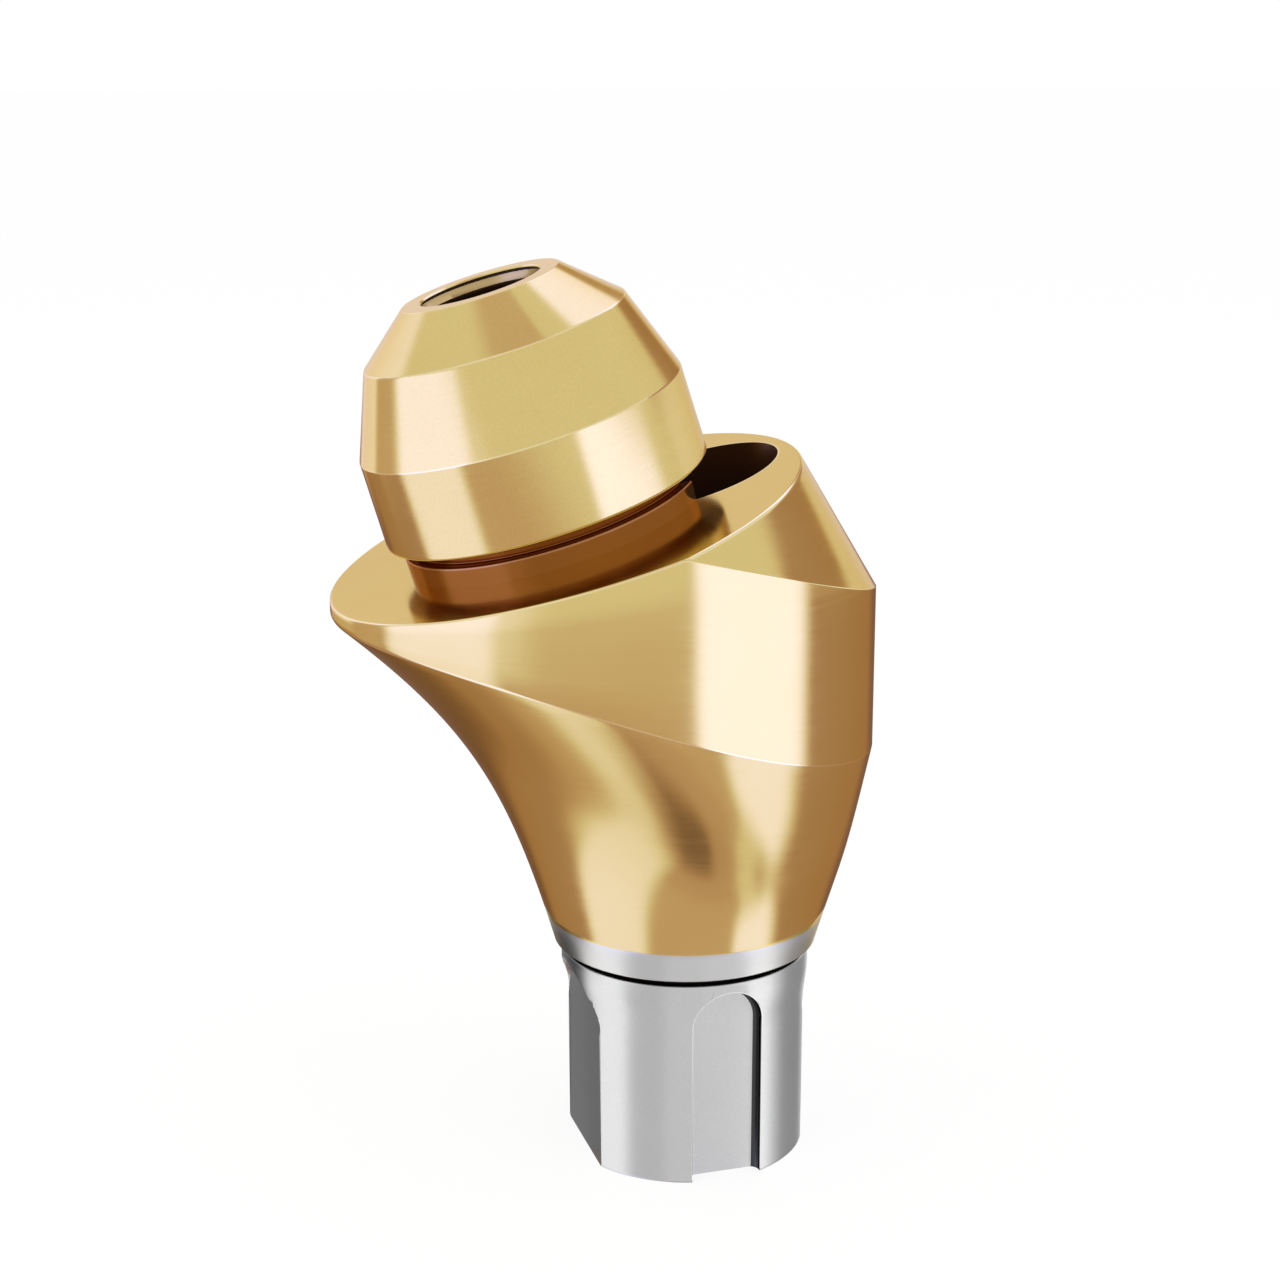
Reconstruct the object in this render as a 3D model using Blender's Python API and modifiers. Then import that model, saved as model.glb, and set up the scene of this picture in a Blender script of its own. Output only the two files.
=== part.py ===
"""Angled dental abutment for a screw-retained bridge, one machined piece.

Z is the axis of the implant. The head leans towards -X, and the opening of the screw
channel is on the +X side of the shoulder. The origin is on the implant axis, in the
flat bottom of the plug that enters the implant.
"""

import math

import bmesh
import bpy
from mathutils import Matrix, Vector

MM = 0.001

# The head's axis: its lean, and the height at which it meets the implant axis
LEAN = math.radians(17.0)
CROSSING_Z = 2.119 * MM

# Shoulder, square to the head's axis, measured along it from the crossing
SHOULDER = 4.265 * MM

# Neck ring on the shoulder, and the narrower undercut between it and the head
NECK_R = 1.400 * MM
NECK_HEIGHT = 0.180 * MM
UNDERCUT_R = 1.300 * MM
UNDERCUT_HEIGHT = 0.119 * MM

# Head: a nearly straight band, a middle cone, a top cone and a flat top
HEAD_FOOT_R = 1.522 * MM
HEAD_FOOT_ROUND = 0.030 * MM
HEAD_BAND_R = 1.510 * MM
HEAD_BAND_HEIGHT = 0.814 * MM
HEAD_MIDDLE_R = 1.217 * MM
HEAD_MIDDLE_HEIGHT = 0.766 * MM
HEAD_TOP_R = 0.728 * MM
HEAD_TOP_HEIGHT = 0.422 * MM

# Tapped bore in the head, drawn at the thread's crest, with a drill point at its end
BORE_R = 0.549 * MM
BORE_BEVEL = 0.030 * MM
BORE_DEPTH = 1.550 * MM
DRILL_POINT = math.radians(118.0)

# Upright band under the shoulder, an ellipse in plan, off centre from the head's axis
BAND_HALF_LENGTH = 2.528 * MM
BAND_HALF_WIDTH = 2.407 * MM
BAND_OFFSET = 0.453 * MM
BAND_LEFT_HEIGHT = 0.126 * MM
BAND_RIGHT_HEIGHT = 1.465 * MM
BAND_EDGE_SAG = 0.213 * MM

# Conical flank that cuts the band's top, about an upright line beside the head's axis
FLANK_ANGLE = math.radians(30.4)
FLANK_R = 2.497 * MM
FLANK_OFFSET = 0.099 * MM

# Lofted body between the round foot and the band's lower edge
FOOT_R = 1.272 * MM
FOOT_Z = 2.085 * MM
FOOT_ROUND = 0.020 * MM
FOOT_ANGLE = math.radians(16.3)
EDGE_ANGLE_LEFT = math.radians(49.1)
EDGE_ANGLE_SIDE = math.radians(27.4)
EDGE_ANGLE_RIGHT = math.radians(12.4)
FOOT_PULL = 0.450
EDGE_PULL_LEFT = 0.333
EDGE_PULL_SIDE = 0.550
EDGE_PULL_RIGHT = 0.585

# Groove, collar and plug below the foot
GROOVE_R = 1.120 * MM
GROOVE_HEIGHT = 0.075 * MM
COLLAR_R = 1.200 * MM
COLLAR_HEIGHT = 0.210 * MM
COLLAR_TAPER = 0.180 * MM
PLUG_R = 1.170 * MM

# Two narrow arch-topped slots in the plug, front and back
SLOT_HALF_WIDTH = 0.346 * MM
SLOT_TOP_Z = 1.914 * MM
SLOT_FLOOR = 0.978 * MM
SLOT_OFFSET = 0.067 * MM
SLOT_FILLET = 0.070 * MM

# Two wide arch-topped flats in the plug, left and right
FLAT_HALF_WIDTH = 0.645 * MM
FLAT_TOP_Z = 1.945 * MM
FLAT_FLOOR = 1.035 * MM

# Screw channel along the implant axis, with a cone for the screw's head to sit on
CHANNEL_R = 0.847 * MM
SEAT_Z = 2.600 * MM
SEAT_ANGLE = math.radians(90.0)
SHANK_R = 0.620 * MM
SHANK_BEVEL = 0.050 * MM

# Facets of the model
STEPS = 96
CHANNEL_STEPS = 64
LOFT_LEVELS = 14
ARCH_STEPS = 20
ROUND_STEPS = 3
SHARP_ANGLE = math.radians(20.0)

# How far tools and joined forms run past the faces that they cut or join
LAP = 0.100 * MM
MERGE = 0.000001

# Places that follow from the sizes
BAND_X = BAND_OFFSET - SHOULDER * math.sin(LEAN)
FLANK_X = FLANK_OFFSET - SHOULDER * math.sin(LEAN)
NECK_TOP = SHOULDER + NECK_HEIGHT
HEAD_FOOT = NECK_TOP + UNDERCUT_HEIGHT
HEAD_BAND_TOP = HEAD_FOOT + HEAD_BAND_HEIGHT
HEAD_MIDDLE_TOP = HEAD_BAND_TOP + HEAD_MIDDLE_HEIGHT
HEAD_TOP = HEAD_MIDDLE_TOP + HEAD_TOP_HEIGHT
GROOVE_Z = FOOT_Z - GROOVE_HEIGHT
COLLAR_Z = GROOVE_Z - COLLAR_HEIGHT


def shoulder_height(x):
    """Return the height of the shoulder's plane at x."""
    return CROSSING_Z + SHOULDER / math.cos(LEAN) + x * math.tan(LEAN)


def flank_height(x, y):
    """Return the height of the conical flank above a point in plan."""
    reach = math.hypot(x - FLANK_X, y)
    return shoulder_height(FLANK_X) - (reach - FLANK_R) / math.tan(FLANK_ANGLE)


def around(left, side, right, phi):
    """Blend three values round the body: right at 0, side at 90 and left at 180 degrees."""
    c = math.cos(phi)
    return side + (right - left) / 2.0 * c + ((right + left) / 2.0 - side) * c * c


def quarter(centre_r, centre_z, radius, start, end, steps):
    """Return points of an arc in a turned profile, as pairs of radius and height."""
    points = []
    for i in range(steps + 1):
        angle = start + (end - start) * i / steps
        points.append((centre_r + radius * math.cos(angle), centre_z + radius * math.sin(angle)))
    return points


def band_edge(phi):
    """Return the point of the band's lower edge at the angle phi."""
    left_x = BAND_X - BAND_HALF_LENGTH
    right_x = BAND_X + BAND_HALF_LENGTH
    left_z = shoulder_height(left_x) - BAND_LEFT_HEIGHT
    right_z = flank_height(right_x, 0.0) - BAND_RIGHT_HEIGHT
    c = math.cos(phi)
    z = (left_z + right_z) / 2.0 - (left_z - right_z) / 2.0 * c - BAND_EDGE_SAG * c * (1.0 - c * c)
    return Vector((BAND_X + BAND_HALF_LENGTH * c, BAND_HALF_WIDTH * math.sin(phi), z))


def wall_line(phi):
    """Return the four Bezier points of the body's wall at the angle phi.

    The wall leaves the round foot at one angle all round. It meets the band's edge at an
    angle that is flat at the left, under the overhang, and steep at the right.
    """
    radial = Vector((math.cos(phi), math.sin(phi), 0.0))
    foot = radial * FOOT_R + Vector((0.0, 0.0, FOOT_Z + FOOT_ROUND))
    edge = band_edge(phi)
    rise = edge.z - foot.z
    outward = Vector((edge.x - foot.x, edge.y - foot.y, 0.0)).normalized()
    up = Vector((0.0, 0.0, 1.0))
    slope_tangents = [math.tan(a) for a in (EDGE_ANGLE_LEFT, EDGE_ANGLE_SIDE, EDGE_ANGLE_RIGHT)]
    edge_slope = around(*slope_tangents, phi)
    edge_pull = around(EDGE_PULL_LEFT, EDGE_PULL_SIDE, EDGE_PULL_RIGHT, phi)
    foot_handle = foot + (radial * math.tan(FOOT_ANGLE) + up) * (FOOT_PULL * rise)
    edge_handle = edge - (outward * edge_slope + up) * (edge_pull * rise)
    return foot, foot_handle, edge_handle, edge


def bezier(points, t):
    """Return the point at t of a cubic Bezier curve."""
    p0, p1, p2, p3 = points
    u = 1.0 - t
    return p0 * u ** 3 + p1 * (3.0 * u * u * t) + p2 * (3.0 * u * t * t) + p3 * t ** 3


def body_sections():
    """Return the body's sections from its foot up, each a closed ring of points.

    The lowest few round the foot's edge, the next ones follow the wall lines up to the
    band's lower edge, and the last stands straight above that edge.
    """
    angles = [2.0 * math.pi * i / STEPS for i in range(STEPS)]
    sections = []
    arc = quarter(FOOT_R - FOOT_ROUND, FOOT_Z + FOOT_ROUND, FOOT_ROUND, -math.pi / 2.0, 0.0, ROUND_STEPS)
    for radius, z in arc[:-1]:
        sections.append([Vector((radius * math.cos(a), radius * math.sin(a), z)) for a in angles])
    walls = [wall_line(a) for a in angles]
    for level in range(LOFT_LEVELS + 1):
        sections.append([bezier(wall, level / LOFT_LEVELS) for wall in walls])
    blank_top = shoulder_height(BAND_X + BAND_HALF_LENGTH) + LAP
    sections.append([Vector((wall[3].x, wall[3].y, blank_top)) for wall in walls])
    return sections


def new_collection(name):
    """Make a collection in the scene."""
    collection = bpy.data.collections.new(name)
    bpy.context.scene.collection.children.link(collection)
    return collection


def as_tool(obj, collection):
    """Show an object as a wire guide and keep it out of renders."""
    collection.objects.link(obj)
    obj.hide_render = True
    obj.display_type = 'WIRE'
    return obj


def lofted(name, sections):
    """Make a closed body through rings of points, with flat ends."""
    bm = bmesh.new()
    rings = [[bm.verts.new(point) for point in section] for section in sections]
    for lower, upper in zip(rings, rings[1:]):
        for i in range(len(lower)):
            j = (i + 1) % len(lower)
            bm.faces.new((lower[i], lower[j], upper[j], upper[i]))
    bm.faces.new(list(reversed(rings[0])))
    bm.faces.new(rings[-1])
    bmesh.ops.triangulate(bm, faces=bm.faces)
    mesh = bpy.data.meshes.new(name)
    bm.to_mesh(mesh)
    bm.free()
    return bpy.data.objects.new(name, mesh)


def turned(name, profile, steps, collection):
    """Turn a profile of radius and height about Z; it runs from the top down."""
    mesh = bpy.data.meshes.new(name)
    points = [(radius, 0.0, z) for radius, z in profile]
    mesh.from_pydata(points, [(i, i + 1) for i in range(len(points) - 1)], [])
    obj = bpy.data.objects.new(name, mesh)
    screw = obj.modifiers.new("Turn", 'SCREW')
    screw.axis = 'Z'
    screw.angle = 2.0 * math.pi
    screw.steps = steps
    screw.render_steps = steps
    screw.use_merge_vertices = True
    screw.merge_threshold = MERGE
    return as_tool(obj, collection)


def on_head_axis(obj):
    """Place an object whose heights are measured along the head's axis."""
    obj.location = (0.0, 0.0, CROSSING_Z)
    obj.rotation_euler = (0.0, -LEAN, 0.0)
    return obj


def make_mesh(obj):
    """Replace an object by its evaluated mesh, with its transform kept."""
    bpy.context.view_layer.update()
    evaluated = obj.evaluated_get(bpy.context.evaluated_depsgraph_get())
    mesh = bpy.data.meshes.new_from_object(evaluated)
    name = obj.name
    matrix = obj.matrix_world.copy()
    bpy.data.objects.remove(obj)
    made = bpy.data.objects.new(name, mesh)
    made.matrix_world = matrix
    return made


def pocket_tool(name, half_width, top_z, floor, offset, fillet, turn, collection):
    """Make the cutter of an arch-topped pocket that is open at the plug's bottom.

    Its inner face is the pocket's flat floor. The fillet rounds that face's edges, so it
    becomes the small hollow round between the pocket's floor and its walls.
    """
    reach = COLLAR_R + LAP - floor
    arch_z = top_z - half_width
    outline = [(-half_width, -LAP), (half_width, -LAP)]
    outline += quarter(0.0, arch_z, half_width, 0.0, math.pi, ARCH_STEPS)
    curve = bpy.data.curves.new(name, 'CURVE')
    curve.dimensions = '2D'
    curve.fill_mode = 'BOTH'
    curve.extrude = reach / 2.0
    spline = curve.splines.new('POLY')
    spline.points.add(len(outline) - 1)
    for point, (x, z) in zip(spline.points, outline):
        point.co = (x, z, 0.0, 1.0)
    spline.use_cyclic_u = True
    drawn = bpy.data.objects.new(name, curve)
    collection.objects.link(drawn)
    tool = make_mesh(drawn)
    bpy.data.curves.remove(curve)
    bm = bmesh.new()
    bm.from_mesh(tool.data)
    bmesh.ops.remove_doubles(bm, verts=bm.verts, dist=MERGE)
    bmesh.ops.dissolve_limit(bm, angle_limit=math.radians(1.0), verts=bm.verts, edges=bm.edges)
    bmesh.ops.recalc_face_normals(bm, faces=bm.faces)
    if fillet > 0.0:
        inner = [e for e in bm.edges if all(v.co.z < 0.0 for v in e.verts)]
        bmesh.ops.bevel(bm, geom=inner, offset=fillet, segments=ROUND_STEPS, profile=0.5, affect='EDGES')
    bmesh.ops.triangulate(bm, faces=bm.faces)
    bm.to_mesh(tool.data)
    bm.free()
    stand_up = Matrix.Rotation(math.pi / 2.0, 4, 'X')
    shift = Matrix.Translation((offset, -(floor + reach / 2.0), 0.0))
    tool.matrix_world = Matrix.Rotation(turn, 4, 'Z') @ shift @ stand_up
    return as_tool(tool, collection)


def combine(obj, tool, operation):
    """Cut or join one form with another, live on the object."""
    modifier = obj.modifiers.new(tool.name, 'BOOLEAN')
    modifier.operation = operation
    modifier.solver = 'EXACT'
    modifier.object = tool


def flank_tool(collection):
    """Make the upright cone whose inside is what the flank leaves."""
    apex = flank_height(FLANK_X, 0.0)
    foot = FOOT_Z - LAP
    profile = [(0.0, apex), ((apex - foot) * math.tan(FLANK_ANGLE), foot), (0.0, foot)]
    tool = turned("flank", profile, STEPS, collection)
    tool.location = (FLANK_X, 0.0, 0.0)
    return tool


def shoulder_tool(collection):
    """Make the block above the shoulder's plane."""
    size = 4.0 * max(BAND_HALF_LENGTH, BAND_HALF_WIDTH)
    mesh = bpy.data.meshes.new("above_shoulder")
    bm = bmesh.new()
    bmesh.ops.create_cube(bm, size=size)
    bmesh.ops.translate(bm, verts=bm.verts, vec=(0.0, 0.0, SHOULDER + size / 2.0))
    bm.to_mesh(mesh)
    bm.free()
    return on_head_axis(as_tool(bpy.data.objects.new("above_shoulder", mesh), collection))


def plug_form(collection):
    """Make the groove, collar and plug, with a spigot that runs up into the body."""
    spigot = FOOT_Z + LAP
    profile = [
        (0.0, spigot),
        (GROOVE_R, spigot),
        (GROOVE_R, GROOVE_Z),
        (COLLAR_R, GROOVE_Z),
        (COLLAR_R, COLLAR_Z),
        (PLUG_R, COLLAR_Z - COLLAR_TAPER),
        (PLUG_R, 0.0),
        (0.0, 0.0),
    ]
    return turned("plug", profile, STEPS, collection)


def neck_form(collection):
    """Make the neck and undercut, let into the body below and the head above."""
    profile = [
        (0.0, HEAD_FOOT + LAP),
        (UNDERCUT_R, HEAD_FOOT + LAP),
        (UNDERCUT_R, NECK_TOP),
        (NECK_R, NECK_TOP),
        (NECK_R, SHOULDER - LAP),
        (0.0, SHOULDER - LAP),
    ]
    return on_head_axis(turned("neck", profile, STEPS, collection))


def head_form(collection):
    """Make the head: flat top, two cones, nearly straight band and rounded foot."""
    foot_round = quarter(
        HEAD_FOOT_R - HEAD_FOOT_ROUND,
        HEAD_FOOT + HEAD_FOOT_ROUND,
        HEAD_FOOT_ROUND,
        0.0,
        -math.pi / 2.0,
        ROUND_STEPS,
    )
    profile = [
        (0.0, HEAD_TOP),
        (HEAD_TOP_R, HEAD_TOP),
        (HEAD_MIDDLE_R, HEAD_MIDDLE_TOP),
        (HEAD_BAND_R, HEAD_BAND_TOP),
    ]
    profile += foot_round
    profile.append((0.0, HEAD_FOOT))
    return on_head_axis(turned("head", profile, STEPS, collection))


def bore_tool(collection):
    """Make the cutter of the head's tapped bore."""
    full_depth = HEAD_TOP - BORE_DEPTH
    point = full_depth - BORE_R / math.tan(DRILL_POINT / 2.0)
    profile = [
        (0.0, HEAD_TOP + LAP),
        (BORE_R + BORE_BEVEL + LAP, HEAD_TOP + LAP),
        (BORE_R, HEAD_TOP - BORE_BEVEL),
        (BORE_R, full_depth),
        (0.0, point),
    ]
    return on_head_axis(turned("bore", profile, CHANNEL_STEPS, collection))


def channel_tool(collection):
    """Make the cutter of the screw channel, its conical seat and the shank's bore."""
    top = shoulder_height(BAND_X + BAND_HALF_LENGTH) + NECK_R
    seat_top = SEAT_Z + (CHANNEL_R - SHANK_R) / math.tan(SEAT_ANGLE / 2.0)
    profile = [
        (0.0, top),
        (CHANNEL_R, top),
        (CHANNEL_R, seat_top),
        (SHANK_R, SEAT_Z),
        (SHANK_R, SHANK_BEVEL),
        (SHANK_R + SHANK_BEVEL + LAP, -LAP),
        (0.0, -LAP),
    ]
    return turned("channel", profile, CHANNEL_STEPS, collection)


def coated_titanium():
    """Make the gold-coloured metal of the coated upper part."""
    material = bpy.data.materials.new("gold_coated_titanium")
    material.use_nodes = True
    shader = material.node_tree.nodes["Principled BSDF"]
    shader.inputs["Base Color"].default_value = (0.66, 0.50, 0.22, 1.0)
    shader.inputs["Metallic"].default_value = 1.0
    shader.inputs["Roughness"].default_value = 0.25
    return material


def build():
    """Model the abutment from its lofted blank, in the order of its machining."""
    for obj in list(bpy.data.objects):
        bpy.data.objects.remove(obj)
    parts = new_collection("angled_abutment")
    tools = new_collection("angled_abutment_tools")

    blank = lofted("abutment", body_sections())
    parts.objects.link(blank)
    combine(blank, flank_tool(tools), 'INTERSECT')
    combine(blank, shoulder_tool(tools), 'DIFFERENCE')
    combine(blank, plug_form(tools), 'UNION')
    for name, turn in (("slot_front", 0.0), ("slot_back", math.pi)):
        slot = pocket_tool(
            name, SLOT_HALF_WIDTH, SLOT_TOP_Z, SLOT_FLOOR, SLOT_OFFSET, SLOT_FILLET, turn, tools
        )
        combine(blank, slot, 'DIFFERENCE')
    for name, turn in (("flat_right", math.pi / 2.0), ("flat_left", -math.pi / 2.0)):
        flat = pocket_tool(name, FLAT_HALF_WIDTH, FLAT_TOP_Z, FLAT_FLOOR, 0.0, 0.0, turn, tools)
        combine(blank, flat, 'DIFFERENCE')
    combine(blank, neck_form(tools), 'UNION')
    combine(blank, channel_tool(tools), 'DIFFERENCE')
    combine(blank, head_form(tools), 'UNION')
    combine(blank, bore_tool(tools), 'DIFFERENCE')

    abutment = make_mesh(blank)
    abutment.data.shade_smooth()
    abutment.data.set_sharp_from_angle(angle=SHARP_ANGLE)
    abutment.data.materials.clear()
    abutment.data.materials.append(coated_titanium())
    parts.objects.link(abutment)


build()
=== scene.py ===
"""Looks of the angled dental abutment: gold-coated head and body, bare titanium plug.

Z is the axis of the implant, in metres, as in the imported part. The head leans towards -X.
Each sub-assembly is modelled on that axis or on the head's, and then set in its place.
"""

import logging
import math
from dataclasses import dataclass
from enum import Enum
from typing import Callable, Sequence

import bmesh
import bpy
from bpy.types import Material, Node, NodeSocket, Object, World
from mathutils import Matrix, Vector


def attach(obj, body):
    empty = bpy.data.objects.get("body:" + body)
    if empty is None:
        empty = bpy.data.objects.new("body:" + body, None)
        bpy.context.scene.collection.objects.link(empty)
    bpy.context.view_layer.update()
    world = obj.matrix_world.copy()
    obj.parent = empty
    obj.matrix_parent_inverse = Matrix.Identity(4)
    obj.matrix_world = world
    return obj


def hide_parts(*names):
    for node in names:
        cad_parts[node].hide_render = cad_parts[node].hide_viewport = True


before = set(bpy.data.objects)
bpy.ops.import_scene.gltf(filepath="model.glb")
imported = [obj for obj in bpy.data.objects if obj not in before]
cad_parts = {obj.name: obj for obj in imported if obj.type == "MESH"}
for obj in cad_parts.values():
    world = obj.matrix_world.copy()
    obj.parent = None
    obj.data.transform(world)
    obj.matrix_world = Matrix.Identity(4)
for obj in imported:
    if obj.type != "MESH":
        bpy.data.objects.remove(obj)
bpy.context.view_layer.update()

logging.basicConfig(level=logging.INFO, format="%(message)s")
log = logging.getLogger("abutment")

MM = 0.001
MERGE = 1e-7  # Points closer than this are one.
LEAN = math.radians(17.0)
CROSSING_Z = 2.119 * MM  # Where the head's axis crosses the implant's.
SHOULDER = 4.265 * MM  # From there along the head's axis, as NECK_TOP and HEAD_FOOT.
NECK_R = 1.400 * MM
UNDERCUT_R = 1.300 * MM
NECK_TOP = SHOULDER + 0.180 * MM
HEAD_FOOT = NECK_TOP + 0.119 * MM
FOOT_Z = 2.085 * MM  # The body's round foot, over the plug's groove.
COATING_Z = 2.378 * MM  # Gold above, bare metal below.
LINE_BLUR = 0.012 * MM
CHANNEL_R = 0.847 * MM
UP = Vector((0.0, 0.0, 1.0))
MIDDLE = Vector((0.0, 0.0, 4.5 * MM))  # The part's middle, which the studio surrounds.
NOISE_SPAN = (0.3, 0.7)  # The part of a noise's range that a ramp uses.

Point = tuple[float, float]
Span = tuple[float, float]
Corner = tuple[float, float, float]
Colour = tuple[float, float, float]


class Axis(Enum):
    """The axis that a turned form stands on."""

    IMPLANT = "implant"
    HEAD = "head"


class Surface(Enum):
    """The finishes that the metal shows."""

    POLISHED = "polished"
    SATIN = "satin"


def axis_matrix(axis: Axis) -> Matrix:
    """Give the placing of a form that was modelled upright.

    Args:
        axis: The axis that the form stands on.

    Returns:
        The matrix from the upright form to its place on the part.
    """
    if axis is Axis.IMPLANT:
        return Matrix.Identity(4)
    return Matrix.Translation((0.0, 0.0, CROSSING_Z)) @ Matrix.Rotation(-LEAN, 4, "Y")


def shoulder_height(x: float) -> float:
    """Give the height of the shoulder's plane at x."""
    return CROSSING_Z + SHOULDER / math.cos(LEAN) + x * math.tan(LEAN)


def clamp(x: float) -> float:
    """Keep a number between 0 and 1."""
    return min(max(x, 0.0), 1.0)


def scaled(colour: Colour, shares: Colour) -> Colour:
    """Multiply a colour channel by channel."""
    return tuple(c * k for c, k in zip(colour, shares))


def direction(azimuth: float, height: float) -> Vector:
    """Give the unit vector towards an azimuth and a height in degrees."""
    a, e = math.radians(azimuth), math.radians(height)
    return Vector((math.cos(e) * math.cos(a), math.cos(e) * math.sin(a), math.sin(e)))


def deselect() -> None:
    """Leave nothing selected, in object mode."""
    if bpy.context.object is not None and bpy.context.object.mode != "OBJECT":
        bpy.ops.object.mode_set(mode="OBJECT")
    bpy.ops.object.select_all(action="DESELECT")


def activate(piece: Object) -> None:
    """Select one object alone and make it active.

    Args:
        piece: The object.
    """
    deselect()
    piece.select_set(True)
    bpy.context.view_layer.objects.active = piece


def arc(start: Vector, corner: Vector, end: Vector, turn: float, steps: int) -> list[Vector]:
    """Round a corner by a circle's arc.

    Args:
        start: The point where the arc begins.
        corner: The sharp corner.
        end: The point where the arc ends, as far from the corner as the start.
        turn: How far the line turns in the corner.
        steps: Number of flats in the arc.

    Returns:
        The arc's points from start to end.
    """
    points = []
    for k in range(steps + 1):
        t = k / steps
        u = 1.0 - t
        weight = 2.0 * u * t * math.cos(turn / 2.0)
        whole = u * u + weight + t * t
        points.append((start * (u * u) + corner * weight + end * (t * t)) / whole)
    return points


def rounded(profile: Sequence[Corner], steps: int = 3) -> list[Point]:
    """Round the corners of a profile by arcs, with a guard point beside each arc.

    Args:
        profile: Radius, height and corner radius of each point, in order.
        steps: Number of flats in each arc.

    Returns:
        The points of the rounded profile, as radius and height.
    """
    points: list[Point] = []
    for i, (r, z, radius) in enumerate(profile):
        here, turn = Vector((r, z)), 0.0
        if radius > 0.0 and 0 < i < len(profile) - 1:
            back = Vector(profile[i - 1][:2]) - here
            ahead = Vector(profile[i + 1][:2]) - here
            turn = math.pi - back.angle(ahead)
        if turn < 1e-4:
            points.append((r, z))
            continue
        reach = min(radius * math.tan(turn / 2.0), 0.45 * back.length, 0.45 * ahead.length)
        start = here + back.normalized() * reach
        end = here + ahead.normalized() * reach
        if back.length > 4.0 * reach:
            points.append(tuple(start + back.normalized() * (0.5 * reach)))
        points += [tuple(spot) for spot in arc(start, here, end, turn, steps)]
        if ahead.length > 4.0 * reach:
            points.append(tuple(end + ahead.normalized() * (0.5 * reach)))
    return points


def circle_at(name: str, radius: float, z: float, steps: int) -> Object:
    """Add a circle of edges round Z and open it in edit mode, all of it selected.

    Args:
        name: The object's name.
        radius: The circle's radius.
        z: The circle's height.
        steps: The number of its edges.

    Returns:
        The new object.
    """
    deselect()
    bpy.ops.mesh.primitive_circle_add(vertices=steps, radius=radius, location=(0.0, 0.0, 0.0))
    piece = bpy.context.object
    piece.name = name
    piece.data.name = name
    bpy.ops.object.mode_set(mode="EDIT")
    bpy.ops.mesh.select_all(action="SELECT")
    bpy.ops.transform.translate(value=(0.0, 0.0, z))
    return piece


def lift(rise: float) -> None:
    """Extrude the selected ring along Z."""
    bpy.ops.mesh.extrude_edges_move(TRANSFORM_OT_translate={"value": (0.0, 0.0, rise)})


def extrude_rings(rings: Sequence[Point]) -> None:
    """Extrude a ring from point to point of a profile and scale it at each.

    Args:
        rings: Radius and height of each ring; the first one is there and selected.
    """
    for (r0, z0), (r1, z1) in zip(rings, rings[1:]):
        lift(z1 - z0)
        if abs(r1 - r0) > 1e-9:
            size = r1 / r0
            bpy.ops.transform.resize(value=(size, size, 1.0), center_override=(0.0, 0.0, z1))


def place_ring(piece: Object, spots: Sequence[Vector], first: int) -> None:
    """Put the newest ring of a form in edit mode on given points.

    Args:
        piece: The object in edit mode.
        spots: The points, in the order of the ring.
        first: Index of the ring's first vertex.
    """
    bm = bmesh.from_edit_mesh(piece.data)
    bm.verts.ensure_lookup_table()
    for k, spot in enumerate(spots):
        bm.verts[first + k].co = spot
    bmesh.update_edit_mesh(piece.data)


def close_ends(piece: Object) -> None:
    """Fill the open ends of a form in edit mode with flat faces.

    Args:
        piece: The object in edit mode.
    """
    bpy.ops.mesh.select_all(action="DESELECT")
    bm = bmesh.from_edit_mesh(piece.data)
    bmesh.ops.holes_fill(bm, edges=[e for e in bm.edges if e.is_boundary], sides=0)
    bmesh.update_edit_mesh(piece.data)


def face_outwards() -> None:
    """Turn all faces of the form in edit mode outwards."""
    bpy.ops.mesh.select_all(action="SELECT")
    bpy.ops.mesh.normals_make_consistent(inside=False)


def finish_shell() -> None:
    """Merge doubles and turn all faces outwards, then leave edit mode."""
    bpy.ops.mesh.select_all(action="SELECT")
    bpy.ops.mesh.remove_doubles(threshold=MERGE)
    face_outwards()
    bpy.ops.object.mode_set(mode="OBJECT")


def pick_edges(piece: Object, where: Callable[[bmesh.types.BMEdge], bool]) -> None:
    """Select some edges of a form in edit mode.

    Args:
        piece: The object in edit mode.
        where: Tells whether an edge is to be selected.
    """
    bpy.ops.mesh.select_mode(type="EDGE")
    bpy.ops.mesh.select_all(action="DESELECT")
    bm = bmesh.from_edit_mesh(piece.data)
    for edge in bm.edges:
        edge.select = where(edge)
    bmesh.update_edit_mesh(piece.data)


def turned(name: str, profile: Sequence[Point], steps: int, axis: Axis = Axis.IMPLANT) -> Object:
    """Turn a form from a circle that is extruded and scaled from point to point.

    Args:
        name: The object's name.
        profile: Radius and height of each ring.
        steps: The number of segments round the axis.
        axis: The axis that the form stands on.

    Returns:
        The closed form, in its place on the part.
    """
    piece = circle_at(name, *profile[0], steps)
    extrude_rings(profile)
    close_ends(piece)
    finish_shell()
    piece.data.transform(axis_matrix(axis))
    return piece


def apply_modifier(piece: Object, kind: str, **settings: object) -> None:
    """Add one modifier to an object and apply it.

    Args:
        piece: The object.
        kind: The modifier's type.
        **settings: Its settings by name.
    """
    activate(piece)
    modifier = piece.modifiers.new(kind.title(), kind)
    for key, value in settings.items():
        setattr(modifier, key, value)
    bpy.ops.object.modifier_apply(modifier=modifier.name)


def cut(piece: Object, tool: Object) -> None:
    """Cut a form out of another, and remove the cutter."""
    apply_modifier(piece, "BOOLEAN", operation="DIFFERENCE", solver="EXACT", object=tool)
    bpy.data.objects.remove(tool)


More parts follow.
